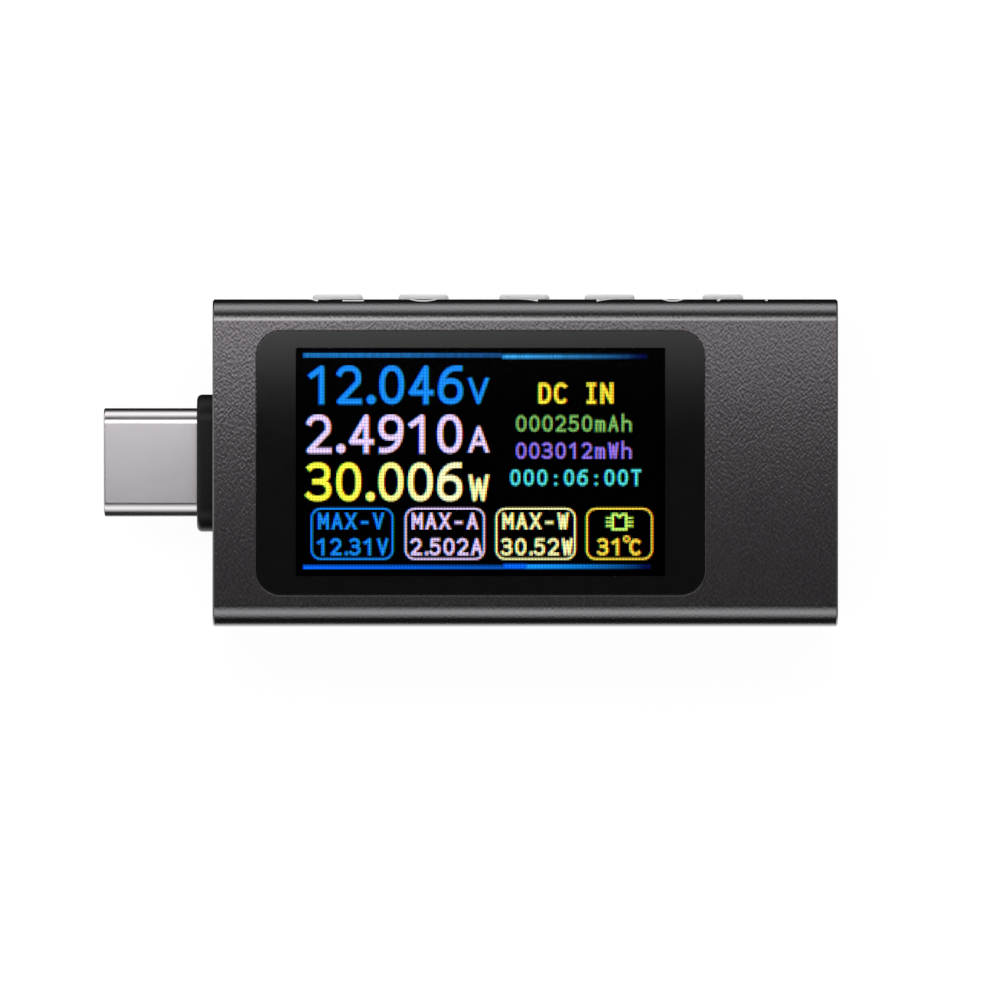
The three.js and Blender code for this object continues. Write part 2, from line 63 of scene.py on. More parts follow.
SLEEVE_HIGH = box_mm("housing_sleeve")[1]
END_X = SLEEVE_HIGH.x
SIDE_Y = SLEEVE_HIGH.y
FRONT_Z = SLEEVE_HIGH.z
MID_Z = FRONT_Z / 2
WALL = 1.2
EDGE_RADIUS = 1.7
CAVITY_RADIUS = 0.8
END_CHAMFER = 0.12
RIM_CHAMFER = 0.08
POCKET_CHAMFER = 0.02
# Straight steps in a quarter circle: round the sleeve and the shells, and over a rounded end.
ROUND_STEPS = 20
END_STEPS = 6

LENS_LOW, LENS_HIGH = box_mm("display_window")
LENS_X = (LENS_LOW.x + LENS_HIGH.x) / 2
LENS_SIZE = (LENS_HIGH.x - LENS_LOW.x, LENS_HIGH.y - LENS_LOW.y)
LENS_CORNER = 1.82
POCKET_GAP = 0.08
POCKET_Z = 9.7
OPENING = (28.7, 17.9)
OPENING_CORNER = 0.6
LENS_ROUND = 0.04
LENS_SHOULDER = 0.06
PANE_SLACK = 0.01
PANE_ROUND = 0.03

# The lit area of the display, its pixels, and the pitch of the dots that show in its light.
PICTURE_WIDTH = 27.5
PICTURE_COLUMNS = 240
PICTURE_ROWS = 148
PIXEL = PICTURE_WIDTH / PICTURE_COLUMNS
PICTURE_HEIGHT = PICTURE_ROWS * PIXEL
PICTURE_Y = 0.07
PICTURE_CORNER = 0.12
DOT_PITCH = 0.243
# Air under the display's glass and between it and the window.
GLASS_GAP = 0.02
LENS_GAP = 0.05

KEY_SIZE = (3.73, 2.2)
KEY_CORNER = 0.45
KEY_ROUND = 0.25
FLANGE_DEPTH = 0.5
FLANGE_CORNER = 0.3
FLANGE_ROUND = 0.05
KEYS = ("back", "ok", "left", "right")
SLIDER_SIZE = (3.03, 2.2)
SLIDER_TRAVEL = 1.5
HOLE_GAP = 0.08

PLUG_LOW, PLUG_HIGH = box_mm("plug_shell")
PORT_LOW, PORT_HIGH = box_mm("receptacle_shell")
PLUG_SIZE = (8.25, 2.4)
PORT_SIZE = (8.94, 3.16)
SHELL_WALL = 0.3
PLUG_LIP = 0.13
PORT_LIP = 0.1
PLATE_DEPTH = 1.5
PLATE_ROUND = 0.12
COLLAR_SIZE = (10.3, 4.6)
COLLAR_CORNER = 2.0
COLLAR_ROUND = 0.38
COLLAR_LENGTH = 1.25
COLLAR_ROOT = 0.6
# The connector holes' reach into and past the caps, and the gap of a fit.
HOLE_DEPTH = 3.0
HOLE_PAST = 1.0
FIT = 0.1


# ---- mesh tools

# Edges that turn by more than this stay sharp.
SHARP_DEGREES = 32


def rounded_outline(width, height, radius, steps=10):
    """Points round a rectangle with round corners, counterclockwise."""
    radius = max(min(radius, width / 2 - 1e-4, height / 2 - 1e-4), 1e-4)
    points = []
    for quarter in range(4):
        turn = quarter * math.pi / 2
        side_x = 1 if quarter in (0, 3) else -1
        side_y = 1 if quarter in (0, 1) else -1
        for step in range(steps + 1):
            angle = turn + step / steps * math.pi / 2
            x = side_x * (width / 2 - radius) + radius * math.cos(angle)
            y = side_y * (height / 2 - radius) + radius * math.sin(angle)
            points.append((x, y))
    return points


def placed(outline, axis, at, centre):
    """An outline as a ring of 3-D points across an axis, at one place along it."""
    u, v = centre
    if axis == "X":
        return [(at, u + a, v + b) for a, b in outline]
    if axis == "Y":
        return [(u - a, at, v + b) for a, b in outline]
    return [(u + a, v + b, at) for a, b in outline]


def loft(rings, capped=True):
    """A bmesh with quads between neighbouring rings; without caps it closes on itself."""
    shape = bmesh.new()
    rows = [[shape.verts.new(Vector(point) * MM) for point in ring] for ring in rings]
    pairs = list(zip(rows, rows[1:]))
    if not capped:
        pairs.append((rows[-1], rows[0]))
    for near, far in pairs:
        for index in range(len(near)):
            after = (index + 1) % len(near)
            shape.faces.new((near[index], near[after], far[after], far[index]))
    if capped:
        shape.faces.new(list(reversed(rows[0])))
        shape.faces.new(rows[-1])
    bmesh.ops.recalc_face_normals(shape, faces=shape.faces)
    return shape


def end_stations(start, end, round_start=0.0, round_end=0.0, shoulder=0.0):
    """
    (place, inset) pairs from start to end, each end rounded by a quarter circle.
    A shoulder adds a ring on the flat just inside the round, so that the flat shades flat.
    """
    def quarter(edge, inward, radius):
        if not radius:
            return [(edge, 0.0)]
        angles = [step / END_STEPS * math.pi / 2 for step in range(END_STEPS + 1)]
        rounded = [
            (edge + inward * radius * (1 - math.cos(a)), radius * (1 - math.sin(a)))
            for a in angles
        ]
        return [(edge, radius + shoulder)] + rounded if shoulder else rounded
    return quarter(start, 1, round_start) + quarter(end, -1, round_end)[::-1]


def section_rings(size, radius, axis, stations, centre, steps=10):
    """Rings of a rounded rectangle, inset as its stations say."""
    return [
        placed(
            rounded_outline(size[0] - 2 * inset, size[1] - 2 * inset, radius - inset, steps),
            axis, at, centre)
        for at, inset in stations
    ]


def bar(size, radius, axis, start, end, centre, round_start=0.0, round_end=0.0, steps=10):
    """A solid with a rounded rectangular section along an axis."""
    stations = end_stations(start, end, round_start, round_end)
    return loft(section_rings(size, radius, axis, stations, centre, steps))


def tube(outer, inner):
    """A closed wall between two surfaces, each given as its rings from start to end."""
    return loft(outer + inner[::-1], capped=False)


def merged(*shapes):
    """One bmesh that holds several."""
    whole = bmesh.new()
    for shape in shapes:
        part = bpy.data.meshes.new("part")
        shape.to_mesh(part)
        shape.free()
        whole.from_mesh(part)
        bpy.data.meshes.remove(part)
    return whole


def as_object(name, shape):
    """Makes an object of a bmesh, smooth except along its sharper edges."""
    limit = math.radians(SHARP_DEGREES)
    for edge in shape.edges:
        edge.smooth = len(edge.link_faces) == 2 and edge.calc_face_angle() < limit
    for face in shape.faces:
        face.smooth = True
    mesh = bpy.data.meshes.new(name)
    shape.to_mesh(mesh)
    shape.free()
    made = bpy.data.objects.new(name, mesh)
    bpy.context.scene.collection.objects.link(made)
    return made


def combined(shape, others, operation):
    """A shape with the others joined to it (UNION) or cut out of it (DIFFERENCE)."""
    body = as_object("body_to_change", shape)
    tools = [as_object(f"tool_{index}", other) for index, other in enumerate(others)]
    for tool in tools:
        step = body.modifiers.new(tool.name, "BOOLEAN")
        step.operation = operation
        step.solver = "EXACT"
        step.object = tool
    result = body.evaluated_get(bpy.context.evaluated_depsgraph_get()).to_mesh()
    left = bmesh.new()
    left.from_mesh(result)
    bmesh.ops.remove_doubles(left, verts=left.verts, dist=1e-8)
    for used in [body, *tools]:
        bpy.data.objects.remove(used, do_unlink=True)
    return left


def keep_flats_flat(made):
    """Weights the normals by face area, so that flat faces shade flat."""
    weighted = made.modifiers.new("flat_faces", "WEIGHTED_NORMAL")
    weighted.keep_sharp = True
    weighted.weight = 100


def add_piece(name, shape, look, body="meter", replaces=()):
    """A finished piece: its mesh, its material and the CAD body that it rides on."""
    made = as_object(name, shape)
    made.data.materials.append(look)
    keep_flats_flat(made)
    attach(made, body)
    if replaces:
        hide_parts(*replaces)
    return made


# ---- material tools

def set_range(made, *limits):
    """Sets a Map Range node's limits, in the order From Min, From Max, To Min, To Max."""
    for socket, number in zip(("From Min", "From Max", "To Min", "To Max"), limits):
        made.inputs[socket].default_value = number


def new_node(tree, kind, **settings):
    made = tree.nodes.new(kind)
    for key, value in settings.items():
        setattr(made, key, value)
    return made


class Look:
    """A material with one Principled shader and short ways to drive its inputs."""

    def __init__(self, name, color, roughness, metallic=0.0, **plain):
        self.material = bpy.data.materials.new(name)
        self.material.use_nodes = True
        self.tree = self.material.node_tree
        self.shader = self.tree.nodes["Principled BSDF"]
        self.place = self.node("ShaderNodeTexCoord").outputs["Object"]
        self.shader.inputs["Base Color"].default_value = (*color, 1)
        self.shader.inputs["Roughness"].default_value = roughness
        self.shader.inputs["Metallic"].default_value = metallic
        for socket, value in plain.items():
            self.shader.inputs[socket.replace("_", " ")].default_value = value

    def node(self, kind, **settings):
        return new_node(self.tree, kind, **settings)

    def feed(self, socket, value):
        """Links an output to a socket, or sets the socket's plain value."""
        if isinstance(value, bpy.types.NodeSocket):
            self.tree.links.new(value, socket)
        else:
            socket.default_value = value

    def noise(self, scale, detail=2.0, roughness=0.5, place=None):
        made = self.node("ShaderNodeTexNoise")
        self.feed(made.inputs["Vector"], place or self.place)
        made.inputs["Scale"].default_value = scale
        made.inputs["Detail"].default_value = detail
        made.inputs["Roughness"].default_value = roughness
        return made.outputs["Fac"]

    def even_grain(self, place, reach):
        """Noise less its own blur, which leaves specks of one even size around zero."""
        around = 0.0
        for axis in range(3):
            for way in (-reach, reach):
                moved = self.node("ShaderNodeVectorMath", operation="ADD")
                self.feed(moved.inputs[0], place)
                moved.inputs[1].default_value[axis] = way
                around = self.math("ADD", around, self.noise(1.0, 0.0, place=moved.outputs[0]))
        return self.math("MULTIPLY_ADD", around, -1 / 6, self.noise(1.0, 0.0, place=place))

    def cell_edges(self, scale):
        """Distance to the edge of the nearest cell of an irregular net."""
        made = self.node("ShaderNodeTexVoronoi", feature="DISTANCE_TO_EDGE")
        self.feed(made.inputs["Vector"], self.place)
        made.inputs["Scale"].default_value = scale
        return made.outputs["Distance"]

    def stretched(self, x, y, z):
        """The place, scaled along each axis, for a grain that runs one way."""
        made = self.node("ShaderNodeMapping")
        self.feed(made.inputs["Vector"], self.place)
        made.inputs["Scale"].default_value = (x, y, z)
        return made.outputs["Vector"]

    def math(self, operation, first, second=0.0, third=0.0):
        made = self.node("ShaderNodeMath", operation=operation)
        for index, value in enumerate((first, second, third)):
            self.feed(made.inputs[index], value)
        return made.outputs["Value"]

    def mapped(self, value, from_low, from_high, to_low, to_high):
        made = self.node("ShaderNodeMapRange")
        self.feed(made.inputs["Value"], value)
        set_range(made, from_low, from_high, to_low, to_high)
        return made.outputs["Result"]

    def spread(self, noise, low, high):
        """A noise, its usual span mapped onto two values."""
        return self.mapped(noise, 0.3, 0.7, low, high)

    def blend(self, factor, first, second):
        """A colour between two, by a factor."""
        made = self.node("ShaderNodeMix", data_type="RGBA")
        self.feed(made.inputs[0], factor)
        self.feed(made.inputs[6], (*first, 1) if isinstance(first, tuple) else first)
        self.feed(made.inputs[7], (*second, 1) if isinstance(second, tuple) else second)
        return made.outputs[2]

    def drive(self, socket, value):
        self.feed(self.shader.inputs[socket], value)
        return self

    def bump(self, height, distance_mm, strength=1.0):
        made = self.node("ShaderNodeBump")
        self.feed(made.inputs["Height"], height)
        self.feed(made.inputs["Strength"], strength)
        made.inputs["Distance"].default_value = distance_mm * MM
        self.feed(self.shader.inputs["Normal"], made.outputs["Normal"])
        return self


def per_mm(count):
    """Texture scale for a feature that comes count times in a millimetre."""
    return count / MM


# ---- materials

def flatness(look):
    """1 where the surface is square to an axis, 0 where it turns round an edge."""
    normal = look.tree.nodes["Texture Coordinate"].outputs["Normal"]
    size = look.node("ShaderNodeVectorMath", operation="ABSOLUTE")
    look.feed(size.inputs[0], normal)
    split = look.node("ShaderNodeSeparateXYZ")
    look.feed(split.inputs[0], size.outputs[0])
    steepest = look.math("MAXIMUM", split.outputs[0], split.outputs[1])
    steepest = look.math("MAXIMUM", steepest, split.outputs[2])
    return look.mapped(steepest, 0.9975, 0.9997, 0.0, 1.0)


def anodised_aluminium():
    """Dark grey blasted and anodised aluminium, brighter and less textured on its edges."""
    look = Look("anodised_aluminium", (0.12, 0.109, 0.118), 0.33, 1.0)
    flat = flatness(look)
    grain = look.even_grain(look.stretched(per_mm(6.9), per_mm(5.3), per_mm(5.3)), 1.15)
    shade = look.mapped(grain, -0.46, 0.46, 0.0, 1.0)
    mottled = look.blend(shade, (0.066, 0.06, 0.065), (0.166, 0.151, 0.163))
    cloud = look.spread(look.noise(per_mm(0.35), 2.0), 0.0, 0.2)
    mottled = look.blend(cloud, mottled, (0.15, 0.137, 0.147))
    look.drive("Base Color", look.blend(flat, (0.185, 0.18, 0.186), mottled))
    look.drive("Roughness", look.mapped(flat, 0.0, 1.0, 0.19, 0.28))
    look.drive("Metallic", look.mapped(flat, 0.0, 1.0, 1.0, 0.88))
    return look.bump(grain, 0.0162, look.mapped(flat, 0.0, 1.0, 0.45, 1.0)).material


def black_plastic():
    """Black glass-filled plastic with a fine spark-eroded grain."""
    look = Look("black_plastic", (0.005, 0.0048, 0.005), 0.38, Specular_IOR_Level=0.22)
    speck = look.noise(per_mm(9), 3.0, 0.6)
    look.drive("Base Color", look.blend(speck, (0.004, 0.0038, 0.004), (0.007, 0.0066, 0.007)))
    look.drive("Roughness", look.spread(speck, 0.32, 0.48))
    return look.bump(speck, 0.012, 0.5).material


def key_plastic():
    """Light grey moulded plastic."""
    look = Look("key_plastic", (0.8, 0.785, 0.805), 0.36)
    tint = look.noise(per_mm(1.1), 3.0)
    look.drive("Base Color", look.blend(tint, (0.76, 0.745, 0.765), (0.84, 0.825, 0.845)))
    fine = look.noise(per_mm(14), 2.0)
    look.drive("Roughness", look.spread(fine, 0.3, 0.44))
    return look.bump(fine, 0.004, 0.4).material


def drawn_steel():
    """Stainless steel with fine lines along X, satin on its flats, bright where it turns."""
    look = Look("drawn_steel", (0.72, 0.69, 0.715), 0.3, 1.0)
    flat = flatness(look)
    lines = look.noise(1.0, 4.0, 0.6, look.stretched(per_mm(0.25), per_mm(16), per_mm(16)))
    smudge = look.noise(per_mm(0.6), 3.0)
    satin = look.blend(smudge, (0.59, 0.555, 0.58), (0.64, 0.605, 0.63))
    look.drive("Base Color", look.blend(flat, (0.66, 0.63, 0.65), satin))
    ridges = look.spread(lines, -0.05, 0.05)
    look.drive("Roughness", look.math("ADD", look.mapped(flat, 0.0, 1.0, 0.19, 0.42), ridges))
    return look.bump(lines, 0.002, 0.2).material


def gold_plate():
    look = Look("gold_plate", (0.9, 0.62, 0.24), 0.22, 1.0)
    wear = look.noise(per_mm(3), 4.0)
    look.drive("Base Color", look.blend(wear, (0.82, 0.54, 0.2), (0.95, 0.69, 0.31)))
    look.drive("Roughness", look.spread(wear, 0.16, 0.32))
    return look.material


def printed_border():
    """The window's border: glass over black ink, with a faint haze."""
    look = Look("window_border", (0.005, 0.0047, 0.005), 0.085, IOR=1.405)
    haze = look.noise(per_mm(0.8), 3.0)
    look.drive("Base Color", look.blend(haze, (0.0045, 0.0043, 0.0045), (0.0068, 0.0064, 0.0068)))
    look.drive("Roughness", look.spread(haze, 0.08, 0.11))
    return look.material


def clear_pane():
    """The clear, low-reflection middle of the window."""
    look = Look("window_pane", (0.003, 0.003, 0.004), 0.06, Alpha=0.02)
    look.drive("Roughness", look.spread(look.noise(per_mm(0.5)), 0.05, 0.09))
    return look.material


def display_black():
    look = Look("display_black", (0.001, 0.001, 0.0015), 0.3, Specular_IOR_Level=0.05)
    look.drive("Roughness", look.spread(look.noise(per_mm(2)), 0.26, 0.36))
    return look.material


def lit_picture():
    """The lit pixels, with the fine grid of darker gaps that shows between them."""
    look = Look("lit_picture", (0.0003, 0.0003, 0.0004), 0.4, Specular_IOR_Level=0.0)
    color = look.node("ShaderNodeAttribute", attribute_name="picture").outputs["Color"]
    split = look.node("ShaderNodeSeparateXYZ")
    look.feed(split.inputs[0], look.place)
    ripples = []
    starts = (LENS_X - PICTURE_WIDTH / 2, PICTURE_Y + PICTURE_HEIGHT / 2)
    for axis, start in enumerate(starts):
        from_start = look.math("SUBTRACT", split.outputs[axis], start * MM)
        turns = look.math("MULTIPLY", from_start, 2 * math.pi / (DOT_PITCH * MM))
        ripples.append(look.math("COSINE", turns))
    ripple = look.math("ADD", ripples[0], ripples[1])
    shown = look.node("ShaderNodeVectorMath", operation="SCALE")
    look.feed(shown.inputs[0], color)
    look.feed(shown.inputs["Scale"], look.mapped(ripple, -2.0, 2.0, 1.45, 0.6))
    look.drive("Emission Color", shown.outputs[0])
    look.shader.inputs["Emission Strength"].default_value = 1.06
    return look.material


def white_ink():
    look = Look("white_ink", (0.8, 0.8, 0.8), 0.5)
    cover = look.noise(per_mm(6), 3.0)
    look.drive("Base Color", look.blend(cover, (0.72, 0.72, 0.73), (0.86, 0.86, 0.86)))
    return look.material


def solder_mask():
    """Green solder mask with the copper tracks showing faintly through it."""
    look = Look("solder_mask", (0.01, 0.06, 0.025), 0.35, Coat_Weight=0.3)
    tracks = look.cell_edges(per_mm(0.9))
    over_copper = look.mapped(tracks, 0.05, 0.09, 1.0, 0.0)
    look.drive("Base Color", look.blend(over_copper, (0.006, 0.045, 0.018), (0.015, 0.11, 0.04)))
    return look.bump(over_copper, 0.02, 0.6).material


def plain_inner(name, low, high, roughness, metallic=0.0, scale=4.0):
    """An inner piece's material: a grain between two colours, with a fine bump."""
    look = Look(name, low, roughness, metallic)
    grain = look.noise(per_mm(scale), 3.0)
    look.drive("Base Color", look.blend(grain, low, high))
    look.drive("Roughness", look.spread(grain, roughness * 0.8, min(roughness * 1.2, 1)))
    return look.bump(grain, 0.01, 0.4).material


ALUMINIUM = anodised_aluminium()
BLACK = black_plastic()
KEY = key_plastic()
STEEL = drawn_steel()
GOLD = gold_plate()
BORDER = printed_border()
PANE = clear_pane()
DISPLAY = display_black()
LIT = lit_picture()
INK = white_ink()

INNER_LOOKS = {
    "tape": plain_inner("adhesive_tape", (0.01, 0.01, 0.01), (0.02, 0.02, 0.02), 0.6),
    "white_plastic": plain_inner("white_plastic", (0.74, 0.73, 0.68), (0.82, 0.81, 0.77), 0.5),
    "flex": plain_inner("polyimide_film", (0.36, 0.12, 0.02), (0.46, 0.17, 0.03), 0.4),
    "chip": plain_inner(
        "chip_package", (0.008, 0.008, 0.008), (0.018, 0.018, 0.018), 0.6, scale=12),
    "ferrite": plain_inner("ferrite", (0.035, 0.035, 0.038), (0.06, 0.06, 0.065), 0.7, scale=10),
    "capacitor": plain_inner("capacitor_body", (0.4, 0.21, 0.04), (0.5, 0.28, 0.07), 0.5),
    "shunt": plain_inner("shunt_alloy", (0.45, 0.2, 0.08), (0.56, 0.27, 0.12), 0.35, 1.0),
    "foam": plain_inner("foam", (0.012, 0.012, 0.012), (0.03, 0.03, 0.03), 0.95, scale=7),
}


# ---- housing

def shell_cutter(size, axis, start, end, centre, radius, rim):
    """A cutter whose outer end flares by the rim's chamfer."""
    stations = [(start, 0.0), (end - rim, 0.0), (end + 3 * rim, -4 * rim)]
    return loft(section_rings(size, radius, axis, stations, centre))


def sleeve():
    """The sleeve with its window pocket, display opening and key holes."""
    def chamfered(chamfer, sign):
        """Stations along the sleeve whose ends are chamfered outside (1) or inside (-1)."""
        rim = sign * chamfer
        return [(-END_X, rim), (-END_X + chamfer, 0), (END_X - chamfer, 0), (END_X, rim)]
    outer = section_rings(
        (2 * SIDE_Y, FRONT_Z), EDGE_RADIUS, "X", chamfered(END_CHAMFER, 1),
        (0, MID_Z), ROUND_STEPS)
    inner = section_rings(
        (2 * (SIDE_Y - WALL), FRONT_Z - 2 * WALL), CAVITY_RADIUS, "X",
        chamfered(END_CHAMFER / 2, -1), (0, MID_Z), ROUND_STEPS)
    pocket = (LENS_SIZE[0] + 2 * POCKET_GAP, LENS_SIZE[1] + 2 * POCKET_GAP)
    pocket_corner = LENS_CORNER + POCKET_GAP
    tools = [
        shell_cutter(pocket, "Z", POCKET_Z, FRONT_Z, (LENS_X, 0), pocket_corner, POCKET_CHAMFER),
        bar(OPENING, OPENING_CORNER, "Z", FRONT_Z - 2 * WALL, FRONT_Z, (LENS_X, 0)),
    ]
    for key in KEYS:
        low, high = box_mm(f"{key}_button")
        tools.append(key_hole(KEY_SIZE, (low.x + high.x) / 2))
    low, high = box_mm("slide_knob")
    slot_size = (SLIDER_SIZE[0] + SLIDER_TRAVEL, SLIDER_SIZE[1])
    tools.append(key_hole(slot_size, (low.x + high.x - SLIDER_TRAVEL) / 2))
    add_piece(
        "sleeve_body", combined(tube(outer, inner), tools, "DIFFERENCE"), ALUMINIUM,
        replaces=["housing_sleeve"])


def key_hole(size, x):
    hole = (size[0] + 2 * HOLE_GAP, size[1] + 2 * HOLE_GAP)
    return shell_cutter(
        hole, "Y", SIDE_Y - 2 * WALL, SIDE_Y, (x, MID_Z), KEY_CORNER + HOLE_GAP, RIM_CHAMFER)


def connector_hole(size, axis_start, axis_end):
    """A cutter for the round-sided hole that a USB-C shell passes through."""
    hole = (size[0] + 2 * FIT, size[1] + 2 * FIT)
    return bar(hole, hole[1] / 2, "X", axis_start, axis_end, (0, MID_Z), steps=16)


sleeve()


# ---- window and display

def window_border():
    """The window's opaque frame round the clear middle, its edge softened."""
    edge = end_stations(LENS_LOW.z, LENS_HIGH.z, 0, LENS_ROUND, LENS_SHOULDER)
    outer = section_rings(LENS_SIZE, LENS_CORNER, "Z", edge, (LENS_X, 0), steps=16)
    inner = section_rings(
        (PICTURE_WIDTH + PIXEL, PICTURE_HEIGHT + PIXEL), PICTURE_CORNER, "Z",
        [(LENS_LOW.z, 0), (LENS_HIGH.z, 0)], (LENS_X, PICTURE_Y), steps=16)
    add_piece(
        "window_border", tube(outer, inner), BORDER,
        replaces=["display_window"])


def window_pane():
    """The clear middle of the window, over the lit area."""
    size = (PICTURE_WIDTH + PIXEL - PANE_SLACK, PICTURE_HEIGHT + PIXEL - PANE_SLACK)
    shape = bar(
        size, PICTURE_CORNER, "Z", LENS_LOW.z, LENS_HIGH.z - PANE_SLACK,
        (LENS_X, PICTURE_Y), 0, PANE_ROUND)
    add_piece("window_pane", shape, PANE)


window_border()
window_pane()


# Glyphs, drawn by their centre lines in a cell 1 wide and 1 high.

def oval(x, y, wide, high, start, end, steps=22):
    """Points on a slightly squared oval, by its centre, half sizes and two angles."""
    squareness = 0.85
    points = []
    for step in range(steps + 1):
        angle = math.radians(start + (end - start) * step / steps)
        across = math.copysign(abs(math.cos(angle)) ** squareness, math.cos(angle))
        up = math.copysign(abs(math.sin(angle)) ** squareness, math.sin(angle))
        points.append((x + wide * across, y + high * up))
    return points


def ring(x, y, wide, high):
    """A closed oval, which ends where it starts."""
    points = oval(x, y, wide, high, 0, 360, 36)
    return points[:-1] + points[:1]


GLYPHS = {
    "0": [ring(0.5, 0.5, 0.5, 0.5)],
    "1": [[(0.06, 0.78), (0.58, 1), (0.58, 0)]],
    "2": [oval(0.46, 0.7, 0.5, 0.3, 155, -22) + [(0, 0), (1, 0)]],
    "3": [oval(0.42, 0.755, 0.5, 0.245, 140, -90) + [(0.28, 0.51)],
          oval(0.42, 0.255, 0.56, 0.255, 90, -145)],
    "4": [[(0.74, 0), (0.74, 1), (0, 0.27), (1, 0.27)]],
    "5": [[(0.9, 1), (0.12, 1), (0.08, 0.54)] + oval(0.42, 0.31, 0.56, 0.31, 115, -145)],
    "6": [ring(0.5, 0.31, 0.5, 0.31), oval(0.86, 0.33, 0.86, 0.67, 85, 180)],
    "7": [[(0.02, 1), (1, 1), (0.36, 0)]],
    "8": [ring(0.5, 0.755, 0.42, 0.245), ring(0.5, 0.255, 0.5, 0.255)],
    "9": [ring(0.5, 0.69, 0.5, 0.31), oval(0.14, 0.67, 0.86, 0.67, 0, -95)],
    "-": [[(0.2, 0.4), (0.8, 0.4)]],
    "V": [[(0, 1), (0.5, 0), (1, 1)]],
    "A": [[(0, 0), (0.5, 1), (1, 0)], [(0.2, 0.32), (0.8, 0.32)]],
    "W": [[(0, 1), (0.24, 0), (0.5, 0.85), (0.76, 0), (1, 1)]],
    "M": [[(0, 0), (0, 1), (0.5, 0.35), (1, 1), (1, 0)]],
    "X": [[(0, 1), (1, 0)], [(0, 0), (1, 1)]],
    "D": [[(0, 0), (0, 1), (0.36, 1)] + oval(0.36, 0.5, 0.64, 0.5, 90, -90) + [(0, 0)]],
    "C": [oval(0.58, 0.5, 0.58, 0.5, 52, 308)],
    "I": [[(0.2, 1), (0.8, 1)], [(0.5, 1), (0.5, 0)], [(0.2, 0), (0.8, 0)]],
    "N": [[(0, 0), (0, 1), (1, 0), (1, 1)]],
    "T": [[(0, 1), (1, 1)], [(0.5, 1), (0.5, 0)]],
    "m": [[(0, 0), (0, 0.66)], oval(0.25, 0.44, 0.25, 0.22, 180, 0) + [(0.5, 0)],
          oval(0.75, 0.44, 0.25, 0.22, 180, 0) + [(1, 0)]],
    "h": [[(0, 0), (0, 1.1)], oval(0.5, 0.42, 0.5, 0.24, 180, 0) + [(1, 0)]],
    " ": [],
}


def lit(red, green, blue):
    """A display colour, given in screen values from 0 to 255, as linear light."""
    return tuple(
        value / 255 / 12.92 if value <= 10 else ((value / 255 + 0.055) / 1.055) ** 2.4
        for value in (red, green, blue)
    )


BLUE = lit(24, 138, 246)
LAVENDER = lit(228, 204, 254)
YELLOW = lit(253, 253, 70)
PALE_YELLOW = lit(254, 252, 195)
CREAM = lit(252, 250, 175)
GOLDEN = lit(252, 228, 60)
GREEN = lit(128, 190, 100)
VIOLET = lit(150, 118, 240)
CYAN = lit(80, 222, 226)
AMBER = lit(253, 228, 72)
ORANGE = lit(253, 212, 66)
LIME = lit(200, 254, 110)
SKY = lit(62, 176, 255)
STEEL_BLUE = lit(30, 126, 205)
DEEP_BLUE = lit(24, 76, 135)
PURE_BLUE = lit(8, 104, 252)
NAVY = lit(8, 80, 175)
AZURE = lit(22, 150, 255)
DARK_BLUE = lit(2, 14, 74)

# The red, green and blue stripes of a pixel lie side by side, so each samples its own place.
STRIPES = np.array([-PIXEL / 3, 0.0, PIXEL / 3])
picture = np.zeros((PICTURE_ROWS, PICTURE_COLUMNS, 3))
pixel_x = (np.arange(PICTURE_COLUMNS) + 0.5)[None, :, None] * PIXEL + STRIPES + 0 * picture
pixel_y = (np.arange(PICTURE_ROWS) + 0.5)[:, None, None] * PIXEL + 0 * picture


def fade(first, second, left, right):
    """A colour that changes across the display, from one at left to another at right."""
    share = np.clip((pixel_x - left) / (right - left), 0, 1)
    return np.asarray(first) * (1 - share) + np.asarray(second) * share


def area_near(points, reach):
    """The rows and columns of the pixels within reach of some points."""
    def span(low, high, count):
        first = max(int((low - reach) / PIXEL), 0)
        return slice(first, min(int((high + reach) / PIXEL) + 2, count))
    across = [x for x, _ in points]
    down = [y for _, y in points]
    return (
        span(min(down), max(down), PICTURE_ROWS),
        span(min(across), max(across), PICTURE_COLUMNS),
    )


def light(area, inside, color):
    """Lights an area's pixels by how far each lies inside a shape, in millimetres."""
    covered = np.clip(inside / PIXEL + 0.5, 0, 1)
    shown = covered * np.broadcast_to(color, picture.shape)[area]
    picture[area] = np.maximum(picture[area], shown)


def draw_line(points, thickness, color, limits=None):
    """
    A line of an even thickness through points, square at its open ends.
    Limits are the rows, in millimetres, between which it is cut level.
    """
    half = thickness / 2
    area = area_near(points, thickness)
    x, y = pixel_x[area], pixel_y[area]
    closed = points[0] == points[-1]
    last = len(points) - 2
    gap = np.full(x.shape, 1e3)
    for index, ((x0, y0), (x1, y1)) in enumerate(zip(points, points[1:])):
        length = math.hypot(x1 - x0, y1 - y0)
        if length < 1e-6:
            continue
        ux, uy = (x1 - x0) / length, (y1 - y0) / length
        along = (x - x0) * ux + (y - y0) * uy
        aside = np.abs((y - y0) * ux - (x - x0) * uy)
        reach = np.hypot(aside, np.maximum(-along, 0) + np.maximum(along - length, 0))
        if index == 0 and not closed:
            reach = np.where(along < 0, np.maximum(aside, -along), reach)
        if index == last and not closed:
            reach = np.where(along > length, np.maximum(aside, along - length), reach)
        np.minimum(gap, reach, out=gap)
    inside = half - gap
    if limits:
        inside = np.minimum(inside, np.minimum(y - limits[0], limits[1] - y))
    light(area, inside, color)


def draw_dot(x, y, diameter, color):
    area = area_near([(x, y)], diameter)
    light(area, diameter / 2 - np.hypot(pixel_x[area] - x, pixel_y[area] - y), color)


